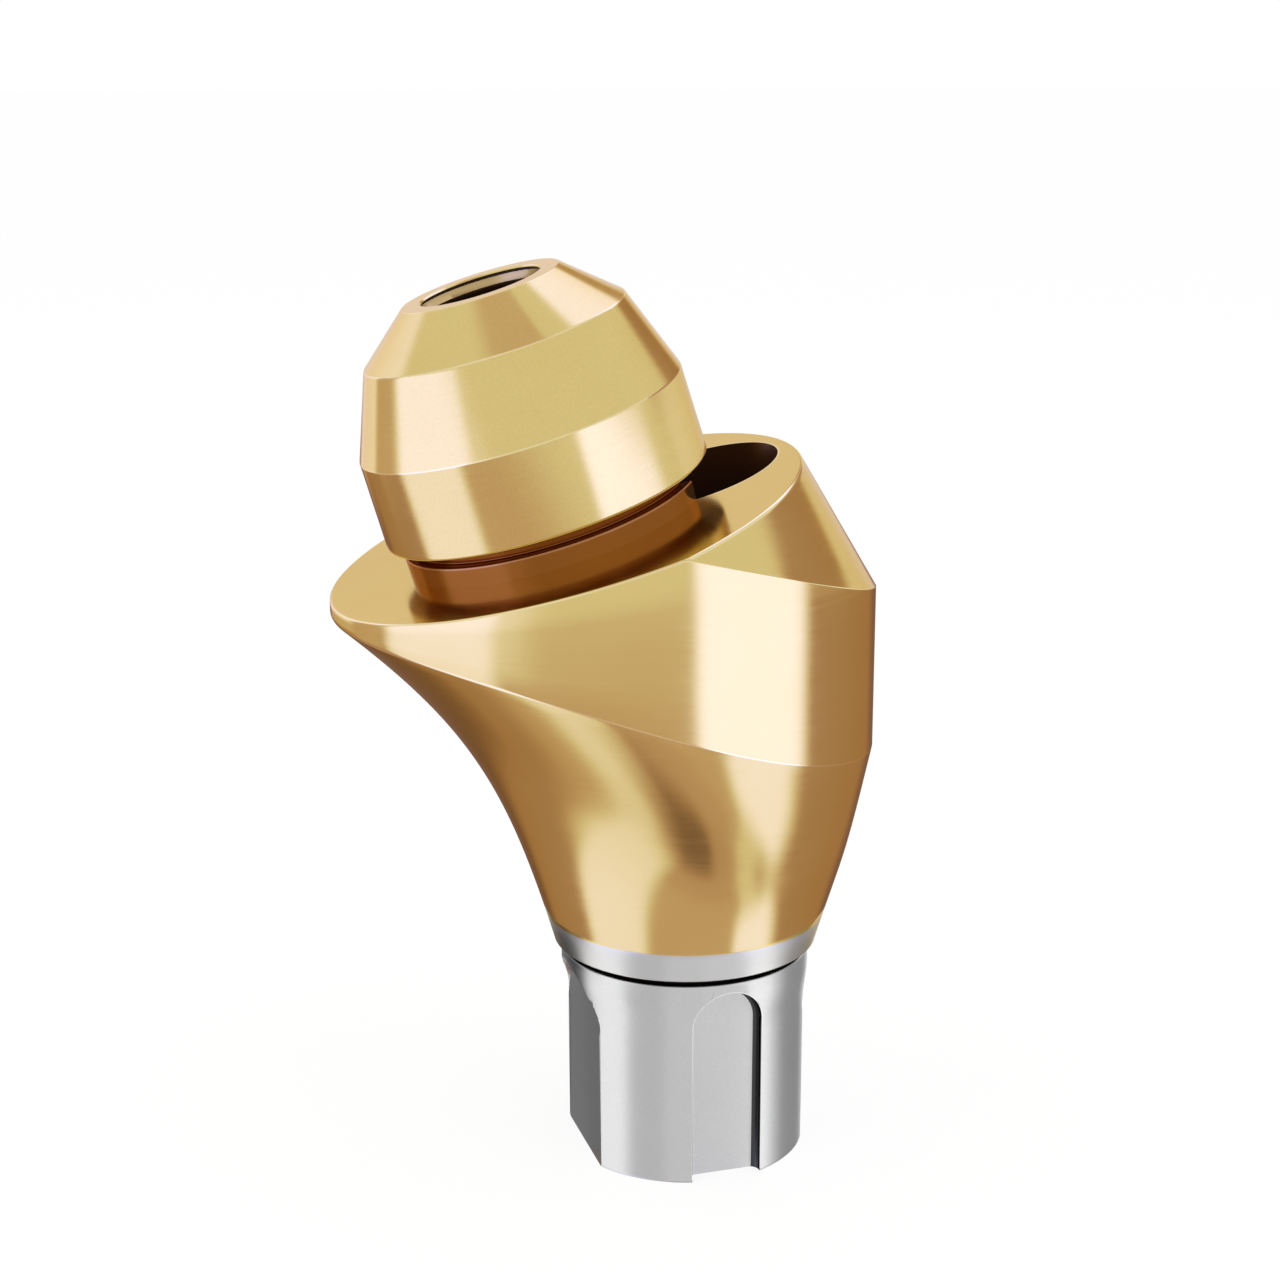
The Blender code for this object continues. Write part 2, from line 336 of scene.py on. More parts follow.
def paint(piece: Object, index: int, where: Callable[[Vector, Vector], bool]) -> None:
    """Give some faces of a piece another of its metals.

    Args:
        piece: The object.
        index: The metal's place among the piece's metals.
        where: Tells by a face's middle and normal whether it gets the metal.
    """
    for face in piece.data.polygons:
        if where(face.center, face.normal):
            face.material_index = index


def set_metals(piece: Object, *metals: Material) -> None:
    """Give a piece its metals; the first one lies on all faces that aren't painted."""
    for metal in metals:
        piece.data.materials.append(metal)


def smooth(piece: Object, angle: float) -> None:
    """Shade a piece smooth with sharp creases, and weight its normals by face area.

    Args:
        piece: The object.
        angle: The least angle in degrees that stays a sharp crease.
    """
    activate(piece)
    bpy.ops.object.shade_smooth_by_angle(angle=math.radians(angle))
    apply_modifier(piece, "WEIGHTED_NORMAL", keep_sharp=True, weight=80)


def mount(piece: Object) -> None:
    """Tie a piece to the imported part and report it.

    Args:
        piece: The finished piece.
    """
    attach(piece, "root")
    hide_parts("abutment")
    log.info("%s: %d faces", piece.name, len(piece.data.polygons))


class NodeSheet:
    """A small helper that places and links the nodes of one material or world."""

    def __init__(self, owner: Material | World) -> None:
        """Start from the owner's own tree.

        Args:
            owner: The material or world.
        """
        owner.use_nodes = True
        self.tree = owner.node_tree
        self.shader = self.tree.nodes.get("Principled BSDF") or self.tree.nodes["Background"]

    def feed(self, node: Node, inputs: dict[str | int, object]) -> None:
        """Link or set some inputs of a node.

        Args:
            node: The node.
            inputs: For each input's name or number, an output to link or a constant.
        """
        for key, value in inputs.items():
            socket = node.inputs[key]
            if isinstance(value, NodeSocket):
                self.tree.links.new(value, socket)
            else:
                socket.default_value = (*value, 1.0) if socket.type == "RGBA" else value

    def add(self, kind: str, inputs: dict[str | int, object], **settings: object) -> Node:
        """Add a node.

        Args:
            kind: The node's type name.
            inputs: What its inputs get, by name or number.
            **settings: Its attributes by name.

        Returns:
            The node.
        """
        node = self.tree.nodes.new(kind)
        for key, value in settings.items():
            setattr(node, key, value)
        self.feed(node, inputs)
        return node

    def math(self, operation: str, *values: object, clamped: bool = False) -> NodeSocket:
        """Add a maths node on outputs or numbers, and clamp its result to 0 and 1 if told to."""
        inputs = dict(enumerate(values))
        return self.add("ShaderNodeMath", inputs, operation=operation, use_clamp=clamped).outputs[0]

    def noise(self, place: NodeSocket, scale: float, detail: float) -> NodeSocket:
        """Add a noise from 0 to 1 on coordinates, with its grains per unit and finer layers."""
        inputs = {"Vector": place, "Scale": scale, "Detail": detail}
        return self.add("ShaderNodeTexNoise", inputs).outputs["Fac"]

    def ramp(self, noise: NodeSocket, low: Colour, high: Colour) -> NodeSocket:
        """Add a ramp between two colours over the middle of a noise's range.

        Args:
            noise: The noise.
            low: The colour at its lower values.
            high: The colour at its higher values.

        Returns:
            The ramp's colour.
        """
        node = self.add("ShaderNodeValToRGB", {0: noise})
        for element, position, colour in zip(node.color_ramp.elements, NOISE_SPAN, (low, high)):
            element.position = position
            element.color = (*colour, 1.0)
        return node.outputs[0]

    def mix(self, share: object, first: object, second: object, blend: str = "MIX") -> NodeSocket:
        """Mix two colours.

        Args:
            share: The second colour's share, an output or a number.
            first: The first colour, an output or a constant.
            second: The second colour, an output or a constant.
            blend: The way of mixing.

        Returns:
            The mixed colour.
        """
        inputs = {"Factor": share, "A": first, "B": second}
        node = self.add("ShaderNodeMix", inputs, data_type="RGBA", blend_type=blend)
        return node.outputs["Result"]

    def above(self, place: NodeSocket, height: float, blur: float) -> NodeSocket:
        """Step softly from 0 to 1 above a height of the coordinates, over the blur's width."""
        z = self.add("ShaderNodeSeparateXYZ", {0: place}).outputs["Z"]
        return self.math("MULTIPLY_ADD", z, 1.0 / blur, -height / blur, clamped=True)


class MetalSheet(NodeSheet):
    """The nodes of one metal, with the coordinates and patterns that its looks share."""

    def __init__(self, material: Material, axis: Axis) -> None:
        """Set up the coordinates, also upright on the axis of the marks, and the coating.

        Args:
            material: The material.
            axis: The axis that the piece was turned on.
        """
        super().__init__(material)
        self.place = self.add("ShaderNodeTexCoord", {}).outputs["Object"]
        back = axis_matrix(axis).inverted()
        inputs = {"Vector": self.place, "Rotation": back.to_euler(), "Location": back.translation}
        self.upright = self.add("ShaderNodeMapping", inputs).outputs[0]
        self.coated = self.above(self.place, COATING_Z, LINE_BLUR)

    def draw(self, fine: float, stretch: float, clouds: float) -> None:
        """Draw the turning marks, a noise stretched round the axis, and the mottling.

        Args:
            fine: The number of marks per metre along the axis.
            stretch: The share of it across the axis.
            clouds: The number of the mottling's clouds per metre.
        """
        scale = (fine * stretch, fine * stretch, fine)
        mapping = self.add("ShaderNodeMapping", {"Vector": self.upright, "Scale": scale})
        self.marks = self.noise(mapping.outputs[0], 1.0, 3.0)
        self.clouds = self.noise(self.place, clouds, 4.0)


@dataclass(frozen=True)
class CoatedMetal:
    """Machined titanium, bare below a line and gold-coated above it.

    Fine turning marks run round the axis that the piece was turned on, and a weak
    mottling of the coating lies over them.
    """

    name: str
    axis: Axis
    surface: Surface = Surface.POLISHED
    gold: Colour = (0.665, 0.52, 0.205)
    gold_shade: Colour = (0.975, 0.965, 0.93)
    gold_roughness: float = 0.13
    titanium: Colour = (0.60, 0.60, 0.605)
    bare_shade: Colour = (0.97, 0.97, 0.97)
    bare_roughness: float = 0.30
    metallic: float = 1.0
    edge_tint: Colour = (0.80, 0.66, 0.46)
    # Painted highlights: pale lines at given heights and a pale ring at a given radius, for light caught
    # on edges.
    painted_highlights: tuple[float, ...] = ()
    painted_highlight_gold: Colour = (0.80, 0.69, 0.42)
    painted_highlight_width: float = 0.006 * MM
    painted_highlight_core: float = 1.6  # Where a line's soft edge ends, in widths from its middle.
    highlight_ring_r: float = 0.0
    highlight_ring_width: float = 0.014 * MM
    marks_per_mm: float = 26.0
    mark_stretch: float = 0.012
    mark_strength: float = 0.02
    mark_depth: float = 0.01 * MM
    mark_gloss: float = 0.10
    clouds_per_mm: float = 1.3
    cloud_gloss: float = 0.06
    grain_per_mm: float = 60.0
    grain_depth: float = 0.03

    def make(self) -> Material:
        """Build the material.

        Returns:
            The material, with its nodes on object coordinates.
        """
        material = bpy.data.materials.new(self.name)
        sheet = MetalSheet(material, self.axis)
        sheet.draw(self.marks_per_mm / MM, self.mark_stretch, self.clouds_per_mm / MM)
        colour = self.paint_highlights(sheet, self.colour(sheet))
        if self.surface is Surface.SATIN:
            colour = self.speckle(sheet, colour)
        bump = {"Strength": self.mark_strength, "Distance": self.mark_depth, "Height": sheet.marks}
        looks = {
            "Base Color": colour,
            "Roughness": self.roughness(sheet),
            "Normal": sheet.add("ShaderNodeBump", bump).outputs[0],
            "Metallic": self.metallic,
            "Specular Tint": self.edge_tint,
        }
        sheet.feed(sheet.shader, looks)
        return material

    def speckle(self, sheet: MetalSheet, colour: NodeSocket) -> NodeSocket:
        """Lay the fine even grain of a satin surface over a colour.

        Args:
            sheet: The metal's nodes.
            colour: The colour.

        Returns:
            The grained colour.
        """
        noise = sheet.noise(sheet.place, self.grain_per_mm / MM, 1.0)
        dark, light = (1.0 - self.grain_depth,) * 3, (1.0 + self.grain_depth,) * 3
        return sheet.mix(1.0, colour, sheet.ramp(noise, dark, light), "MULTIPLY")

    def paint_highlights(self, sheet: MetalSheet, colour: NodeSocket) -> NodeSocket:
        """Paint highlights: pale thin lines at the given heights and round the ring's radius.

        Args:
            sheet: The metal's nodes.
            colour: The coating's colour.

        Returns:
            The colour with the painted highlight lines.
        """
        z = sheet.add("ShaderNodeSeparateXYZ", {0: sheet.upright}).outputs["Z"]
        lines = [(z, height, self.painted_highlight_width) for height in self.painted_highlights]
        if self.highlight_ring_r > 0.0:
            inputs = {0: sheet.upright, 1: (1.0, 1.0, 0.0)}
            flat = sheet.add("ShaderNodeVectorMath", inputs, operation="MULTIPLY").outputs[0]
            reach = sheet.add("ShaderNodeVectorMath", {0: flat}, operation="LENGTH")
            lines.append((reach.outputs["Value"], self.highlight_ring_r, self.highlight_ring_width))
        for measure, line, width in lines:
            away = sheet.math("ABSOLUTE", sheet.math("SUBTRACT", measure, line))
            share = sheet.math("DIVIDE", away, width)
            near = sheet.math("SUBTRACT", self.painted_highlight_core, share, clamped=True)
            colour = sheet.mix(near, colour, self.painted_highlight_gold)
        return colour

    def colour(self, sheet: MetalSheet) -> NodeSocket:
        """Mix the two metals at the coating's line.

        Args:
            sheet: The metal's nodes.

        Returns:
            The metal's colour.
        """
        bare = sheet.ramp(sheet.clouds, scaled(self.titanium, self.bare_shade), self.titanium)
        gold = sheet.ramp(sheet.clouds, scaled(self.gold, self.gold_shade), self.gold)
        return sheet.mix(sheet.coated, bare, gold)

    def roughness(self, sheet: MetalSheet) -> NodeSocket:
        """Vary the gloss by the marks and the mottling, with the bare metal duller.

        Args:
            sheet: The metal's nodes.

        Returns:
            The roughness.
        """
        least = self.bare_roughness - (self.mark_gloss + self.cloud_gloss) / 2.0
        drop = self.gold_roughness - self.bare_roughness
        level = sheet.math("MULTIPLY_ADD", sheet.coated, drop, least)
        level = sheet.math("MULTIPLY_ADD", sheet.marks, self.mark_gloss, level)
        return sheet.math("MULTIPLY_ADD", sheet.clouds, self.cloud_gloss, level)


@dataclass(frozen=True)
class NeckMetal(CoatedMetal):
    """The gold in the neck with painted shade: darker and browner, darkest in the undercut under the
    head.
    """

    # Painted shade: a darker, browner copy of the gold, and below it the undercut's painted shade colour.
    gold: Colour = (0.40, 0.185, 0.07)
    gold_shade: Colour = (0.9, 0.9, 0.9)
    metallic: float = 0.85
    edge_tint: Colour = (0.60, 0.38, 0.20)
    depth: Colour = (0.26, 0.09, 0.022)
    painted_shade_z: float = NECK_TOP - 0.004 * MM
    painted_shade_blur: float = 0.01 * MM

    def colour(self, sheet: MetalSheet) -> NodeSocket:
        """Paint shade over the ring's edge: darken the coating towards the undercut."""
        gold = sheet.ramp(sheet.clouds, scaled(self.gold, self.gold_shade), self.gold)
        return sheet.mix(sheet.above(sheet.upright, self.painted_shade_z, self.painted_shade_blur), gold, self.depth)


@dataclass
class Head:
    """The leaning head: flat top, two cones, a nearly straight band and a tapped bore."""

    foot_r: float = 1.522 * MM
    foot_round: float = 0.022 * MM
    foot_flat: float = 0.400 * MM
    band_r: float = 1.510 * MM
    band_height: float = 0.814 * MM
    middle_r: float = 1.217 * MM
    middle_height: float = 0.766 * MM
    top_r: float = 0.728 * MM
    top_height: float = 0.422 * MM
    crease: float = 0.050 * MM
    rim: float = 0.025 * MM
    bore_r: float = 0.549 * MM
    bore_bevel: float = 0.016 * MM
    bore_rim: float = 0.010 * MM
    relief_r: float = 0.585 * MM
    relief_start: float = 0.004 * MM
    relief_depth: float = 0.034 * MM
    lead_depth: float = 0.098 * MM
    bore_depth: float = 1.550 * MM
    drill_angle: float = math.radians(118.0)
    drill_end: float = 0.2
    thread_pitch: float = 0.300 * MM
    thread_depth: float = 0.060 * MM
    thread_crest: float = 0.08
    thread_flank: float = 0.34
    margin: float = 0.001 * MM
    steps: int = 256
    rings_per_pitch: int = 10

    def outline(self) -> list[Point]:
        """Draw the outer profile from the foot up to the bore's mouth.

        Returns:
            The rounded profile, which ends at the foot of the bore's lead-in.
        """
        band_top, middle_top, top = self.creases()
        mouth = top - self.bore_bevel
        corners = [
            (self.foot_r - self.foot_flat, HEAD_FOOT, 0.0),
            (self.foot_r, HEAD_FOOT, self.foot_round),
            (self.band_r, band_top, self.crease),
            (self.middle_r, middle_top, self.crease),
            (self.top_r, top, self.rim),
            (self.bore_r + self.bore_bevel, top, self.bore_rim),
            (self.bore_r, mouth, 0.0),
            (self.relief_r, mouth - self.relief_start, 0.0),
            (self.relief_r, mouth - self.relief_depth, 0.0),
            (self.bore_r, mouth - self.lead_depth, 0.0),
        ]
        return rounded(corners, 4)

    def creases(self) -> tuple[float, float, float]:
        """Find the edges between the head's forms.

        Returns:
            The heights of the band's top, the second cone's top and the flat top.
        """
        band_top = HEAD_FOOT + self.band_height
        middle_top = band_top + self.middle_height
        return band_top, middle_top, middle_top + self.top_height

    def thread_reach(self, depth: float, turn: float) -> float:
        """Give the wall's radius at a depth below the mouth and an angle in turns.

        Args:
            depth: Depth below the end of the bore's lead-in.
            turn: Angle round the axis, in turns.

        Returns:
            The radius of the wall: least at the thread's crest.
        """
        phase = (depth / self.thread_pitch + turn) % 1.0
        groove = clamp((0.5 - abs(phase - 0.5) - self.thread_crest) / self.thread_flank)
        start = clamp(depth / (0.5 * self.thread_pitch))
        end = clamp((self.threaded() - depth) / (0.5 * self.thread_pitch))
        return self.bore_r + self.thread_depth * groove * min(start, end)

    def threaded(self) -> float:
        """Give the length of the threaded wall."""
        return self.bore_depth - self.bore_bevel - self.lead_depth

    def tap(self, piece: Object) -> None:
        """Run the threaded wall down from the lead-in to the drill point.

        Args:
            piece: The head in edit mode, with the lead-in's lower ring selected.
        """
        rings = round(self.threaded() / self.thread_pitch * self.rings_per_pitch)
        step = self.threaded() / rings
        for ring in range(1, rings + 1):
            lift(-step)
            bm = bmesh.from_edit_mesh(piece.data)
            for vert in bm.verts:
                if vert.select:
                    turn = math.atan2(vert.co.y, vert.co.x) / (2.0 * math.pi)
                    reach = self.thread_reach(ring * step, turn)
                    vert.co.xy = vert.co.xy.normalized() * reach
            bmesh.update_edit_mesh(piece.data)
        lift(-(1.0 - self.drill_end) * self.bore_r / math.tan(self.drill_angle / 2.0))
        size = self.drill_end
        bpy.ops.transform.resize(value=(size, size, 1.0), center_override=(0.0, 0.0, 0.0))

    def build(self, metal: Material, under: Material, painted_shade_inside: Material, lead: Material) -> None:
        """Model the head.

        Args:
            metal: Its metal.
            under: The painted shade of its underside, a matt orange copy of the gold.
            painted_shade_inside: The painted shade deep in the bore, a dark brown.
            lead: The painted light on the bore's lead-in, a matt light tan.
        """
        outline = self.outline()
        piece = circle_at("head", *outline[0], self.steps)
        extrude_rings(outline)
        self.tap(piece)
        close_ends(piece)
        finish_shell()
        set_metals(piece, metal, under, painted_shade_inside, lead)
        mouth = self.creases()[2] - self.bore_bevel
        deep, relief = mouth - self.lead_depth, mouth - self.relief_depth
        wide, thread = self.relief_r + self.margin, self.relief_r + self.margin + self.thread_depth
        low, sole = deep - 10.0 * self.margin, HEAD_FOOT + 0.1 * self.foot_round
        # Painted shade: the underside gets the matt orange coating.
        paint(piece, 1, lambda spot, _: spot.z < sole)
        # Painted light and shade in the bore: light tan on the lead-in, dark brown in the relief and the
        # thread.
        paint(piece, 3, lambda spot, _: spot.xy.length < wide and low < spot.z < mouth)
        paint(piece, 2, lambda spot, _: spot.xy.length < wide and relief < spot.z < mouth)
        paint(piece, 2, lambda spot, _: spot.xy.length < thread and spot.z < deep)
        piece.data.transform(axis_matrix(Axis.HEAD))
        smooth(piece, 50.0)
        mount(piece)


@dataclass
class Channel:
    """The screw channel along the implant axis, its seat and the shank's bore."""

    seat_z: float = 2.600 * MM
    seat_angle: float = math.radians(90.0)
    shank_r: float = 0.620 * MM
    shank_bevel: float = 0.050 * MM
    lap: float = 0.100 * MM
    top: float = 9.0 * MM
    steps: int = 160

    def drill(self, piece: Object) -> None:
        """Cut the channel out of a piece.

        Args:
            piece: The piece, in its place.
        """
        seat_top = self.seat_z + (CHANNEL_R - self.shank_r) / math.tan(self.seat_angle / 2.0)
        profile = [
            (CHANNEL_R, self.top),
            (CHANNEL_R, seat_top),
            (self.shank_r, self.seat_z),
            (self.shank_r, self.shank_bevel),
            (self.shank_r + self.shank_bevel + self.lap, -self.lap),
        ]
        cut(piece, turned("channel_cutter", profile, self.steps))

    @staticmethod
    def in_wall(spot: Vector, way: Vector) -> bool:
        """Tell by its middle and normal whether a face is in the channel's wall."""
        return spot.xy.length < CHANNEL_R and way.xy.dot(spot.xy) < 0.0


@dataclass
class Neck:
    """The plain ring on the shoulder and the narrower undercut over it."""

    lap: float = 0.100 * MM
    edge: float = 0.018 * MM
    inner_edge: float = 0.009 * MM
    steps: int = 256

    def build(self, metal: Material, painted_shade_inside: Material) -> None:
        """Model the neck, cut by the screw channel.

        Args:
            metal: Its coating, with painted shade.
            painted_shade_inside: The painted shade of the wall that the channel leaves, the same matt
                orange.
        """
        corners = [
            (NECK_R, SHOULDER - self.lap, 0.0),
            (NECK_R, NECK_TOP, self.edge),
            (UNDERCUT_R, NECK_TOP, self.inner_edge),
            (UNDERCUT_R, HEAD_FOOT + self.lap, 0.0),
        ]
        piece = turned("neck", rounded(corners), self.steps, Axis.HEAD)
        set_metals(piece, metal, painted_shade_inside)
        Channel().drill(piece)
        # Painted shade: the channel's cut wall gets the matt orange coating.
        paint(piece, 1, Channel.in_wall)
        smooth(piece, 40.0)
        mount(piece)


@dataclass
class Body:
    """The shoulder, the upright band, the conical flank and the lofted wall below.

    The wall is drawn in columns round the implant axis: from the round foot along a
    curve to the band's lower edge, up the band, and then inwards over the top. Values
    in threes hold for the left, the front and back, and the right.
    """

    half_length: float = 2.528 * MM
    half_width: float = 2.407 * MM
    band_x: float = 0.453 * MM - SHOULDER * math.sin(LEAN)
    left_height: float = 0.126 * MM
    right_height: float = 1.465 * MM
    edge_sag: float = 0.213 * MM
    flank_angle: float = math.radians(30.4)
    flank_r: float = 2.497 * MM
    flank_x: float = 0.099 * MM - SHOULDER * math.sin(LEAN)
    foot_r: float = 1.272 * MM
    foot_round: float = 0.020 * MM
    foot_angle: float = math.radians(16.3)
    edge_angles: tuple[float, float, float] = (49.1, 27.4, 12.4)
    foot_pull: float = 0.450
    edge_pulls: tuple[float, float, float] = (0.333, 0.550, 0.585)
    low_round: float = 0.060 * MM
    top_round: float = 0.026 * MM
    flank_round: float = 0.030 * MM
    centre_x: float = -1.15 * MM
    probe: float = 0.02 * MM
    closest: float = 0.0004 * MM
    inner_share: float = 0.93
    steps: int = 384
    round_steps: int = 4
    wall_levels: int = 40
    band_levels: int = 4
    flank_rings: int = 3
    crease_rings: int = 4
    inner_rings: int = 6

    def flank(self, x: float, y: float) -> float:
        """Give the height of the flank's cone."""
        reach = math.hypot(x - self.flank_x, y)
        return shoulder_height(self.flank_x) - (reach - self.flank_r) / math.tan(self.flank_angle)

    def top(self, x: float, y: float) -> float:
        """Give the height of the body's top: the lower of the shoulder and the flank.

        The crease between the two is rounded by a smooth minimum.

        Args:
            x: The place along X.
            y: The place along Y.

        Returns:
            The height there.
        """
        shoulder, flank = shoulder_height(x), self.flank(x, y)
        dip = max(self.flank_round - abs(shoulder - flank), 0.0)
        return min(shoulder, flank) - dip * dip / (4.0 * self.flank_round)

    def around(self, values: Sequence[float], phi: float) -> float:
        """Blend left, side and right values round the body.

        Args:
            values: The values at the left, at the front and back, and at the right.
            phi: The angle, which is 0 at the right.

        Returns:
            The value there.
        """
        left, side, right = values
        c = math.cos(phi)
        return side + (right - left) / 2.0 * c + ((right + left) / 2.0 - side) * c * c

    def outline(self, phi: float) -> Vector:
        """Give the band's point at an angle, without its height."""
        c, s = math.cos(phi), math.sin(phi)
        return Vector((self.band_x + self.half_length * c, self.half_width * s, 0.0))

    def low_edge(self, phi: float) -> Vector:
        """Find the band's lower edge, which falls from left to right.

        Args:
            phi: The column's angle.

        Returns:
            The edge's point.
        """
        left_z = shoulder_height(self.band_x - self.half_length) - self.left_height
        right_z = self.flank(self.band_x + self.half_length, 0.0) - self.right_height
        c = math.cos(phi)
        z = (left_z + right_z) / 2.0 - (left_z - right_z) / 2.0 * c - self.edge_sag * c * (1.0 - c * c)
        return self.outline(phi) + UP * z

    def wall(self, phi: float) -> list[Vector]:
        """Draw one column from the foot to the band's lower edge, with a round at its top.

        Args:
            phi: The column's angle.

        Returns:
            The points from the foot's round up to the first point of the band.
        """
        radial = Vector((math.cos(phi), math.sin(phi), 0.0))
        foot = radial * self.foot_r + UP * (FOOT_Z + self.foot_round)
        edge = self.low_edge(phi)
        rise = edge.z - foot.z
        outward = Vector((edge.x - foot.x, edge.y - foot.y, 0.0)).normalized()
        slope = self.around([math.tan(math.radians(a)) for a in self.edge_angles], phi)
        pull = self.around(self.edge_pulls, phi)
        first = foot + (radial * math.tan(self.foot_angle) + UP) * (self.foot_pull * rise)
        second = edge - (outward * slope + UP) * (pull * rise)
        line = []
        for k in range(1, self.round_steps):
            a = math.pi / 2.0 * (k / self.round_steps - 1.0)
            r = self.foot_r + self.foot_round * (math.cos(a) - 1.0)
            line.append(radial * r + UP * (FOOT_Z + self.foot_round * (math.sin(a) + 1.0)))
        turn = math.atan(slope)
        reach = self.low_round * math.tan(turn / 2.0)
        last = 1.0 - reach / (3.0 * (edge - second).length)
        for level in range(self.wall_levels + 1):
            t = last * level / self.wall_levels
            u = 1.0 - t
            line.append(foot * u**3 + first * (3 * u * u * t) + second * (3 * u * t * t) + edge * t**3)
        start = edge - (outward * slope + UP).normalized() * reach
        return line + arc(start, edge, edge + UP * reach, turn, self.round_steps)[1:]

    def crown(self, phi: float, low: Vector) -> list[Vector]:
        """Draw one column up the band and inwards over the top.

        Args:
            phi: The column's angle.
            low: The column's last point, low on the band.

        Returns:
            The points up the band, round its top edge and in to the middle.
        """
        rim = self.outline(phi)
        inward = Vector((self.centre_x, 0.0, 0.0)) - rim
        whole = inward.length
        inward.normalize()
        rim.z = self.top(rim.x, rim.y)
        probe = rim + inward * self.probe
        rise = (self.top(probe.x, probe.y) - rim.z) / self.probe
        turn = math.pi / 2.0 - math.atan(rise)
        reach = self.top_round * math.tan(turn / 2.0)
        start = rim - UP * reach
        end = rim + (inward + UP * rise).normalized() * reach
        line = [low.lerp(start, k / self.band_levels) for k in range(1, self.band_levels + 1)]
        line += arc(start, rim, end, turn, self.round_steps)[1:]
        begun = reach * math.cos(math.atan(rise))
        for run in self.runs(rim, inward, begun, whole):
            spot = rim + inward * run
            spot.z = self.top(spot.x, spot.y)
            line.append(spot)
        return line

    def runs(self, rim: Vector, inward: Vector, begun: float, whole: float) -> list[float]:
        """Space the rings of the top, close together at the crease of flank and shoulder.

        Args:
            rim: The column's point on the band's top.
            inward: The way in.
            begun: How far in the edge's round ends.
            whole: The way to the middle.

        Returns:
            The rings' distances from the rim.
        """
        crease, high = 0.0, whole
        for _ in range(40):
            mid = (crease + high) / 2.0
            spot = rim + inward * mid
            if self.flank(spot.x, spot.y) < shoulder_height(spot.x):
                crease = mid
            else:
                high = mid
        half = self.crease_rings
        tight = [crease + self.flank_round * m / half for m in range(-half, half + 1)]
        step = (tight[0] - begun) / (self.flank_rings + 1)
        runs = [begun + step * k for k in range(1, self.flank_rings + 1)] + tight
        step = (whole * self.inner_share - tight[-1]) / self.inner_rings
        runs += [tight[-1] + step * k for k in range(1, self.inner_rings + 1)]
        fixed, least = [], begun
        for run in runs:
            least = max(run, least + self.closest)
            fixed.append(least)
        return fixed

    def painted_highlight_levels(self) -> tuple[int, ...]:
        """Find the rings of faces that get a painted highlight.

        Returns:
            The rings on the band's two edges and on the flank's crease.
        """
        low = self.round_steps + self.wall_levels
        high = low + self.round_steps + self.band_levels
        crease = high + self.round_steps + self.flank_rings + self.crease_rings
        return low + 1, low + 2, high + 1, high + 2, crease - 1, crease, crease + 1

    def build(self, metal: Material, painted_highlights: Material, painted_shade_inside: Material) -> None:
        """Model the body.

        Args:
            metal: Its metal.
            painted_highlights: The paler gold painted along its edges as highlights.
            painted_shade_inside: The painted shade in the screw channel, a dark brown.
        """
        angles = [2.0 * math.pi * k / self.steps for k in range(self.steps)]
        walls = [self.wall(phi) for phi in angles]
        columns = [wall + self.crown(phi, wall[-1]) for wall, phi in zip(walls, angles)]
        foot = self.foot_r - self.foot_round
        base = [Vector((foot * math.cos(a), foot * math.sin(a), FOOT_Z)) for a in angles]
        piece = circle_at("body", foot, FOOT_Z, self.steps)
        place_ring(piece, base, 0)
        for level, ring in enumerate(zip(*columns), 1):
            lift(0.0)
            place_ring(piece, ring, self.steps * level)
        close_ends(piece)
        bpy.ops.object.mode_set(mode="OBJECT")
        set_metals(piece, metal, painted_highlights, painted_shade_inside)
        # Painted highlights: the faces on the band's edges and the flank's crease get the paler gold.
        painted_edge_highlight = self.painted_highlight_levels()
        for face in piece.data.polygons:
            face.material_index = 1 if face.index // self.steps in painted_edge_highlight else 0
        bpy.ops.object.mode_set(mode="EDIT")
        finish_shell()
        Channel().drill(piece)
        # Painted shade: the channel's wall gets the dark brown coating.
        paint(piece, 2, Channel.in_wall)
        smooth(piece, 34.0)
        mount(piece)


@dataclass
class Pocket:
    """An arch-topped pocket in the plug, open at its bottom."""

    name: str
    half_width: float
    top_z: float
    floor: float
    offset: float
    fillet: float
    turn: float
    lap: float = 0.100 * MM
    arch_steps: int = 48

    def cutter(self, reach: float) -> Object:
        """Model the cutter as a plate that is extruded outwards from the pocket's floor.

        Args:
            reach: Radius that the cutter passes.

        Returns:
            The cutter in its place.
        """
        deselect()
        arch_z = self.top_z - self.half_width
        outline = [(-self.half_width, -self.lap), (self.half_width, -self.lap)]
        for k in range(self.arch_steps + 1):
            a = math.pi * k / self.arch_steps
            outline.append((self.half_width * math.cos(a), arch_z + self.half_width * math.sin(a)))
        bpy.ops.mesh.primitive_circle_add(vertices=len(outline), radius=self.half_width, fill_type="NGON")
        tool = bpy.context.object
        tool.name = self.name
        for vert, (x, z) in zip(tool.data.vertices, outline):
            vert.co = (x + self.offset, -self.floor, z)
        bpy.ops.object.mode_set(mode="EDIT")
        bpy.ops.mesh.select_all(action="SELECT")
        outwards = {"value": (0.0, self.floor - reach, 0.0)}
        bpy.ops.mesh.extrude_region_move(TRANSFORM_OT_translate=outwards)
        face_outwards()
        if self.fillet > 0.0:
            pick_edges(tool, lambda e: all(abs(v.co.y + self.floor) < MERGE for v in e.verts))
            bpy.ops.mesh.bevel(offset=self.fillet, segments=5, profile=0.5)
        bpy.ops.object.mode_set(mode="OBJECT")
        tool.data.transform(Matrix.Rotation(self.turn, 4, "Z"))
        return tool


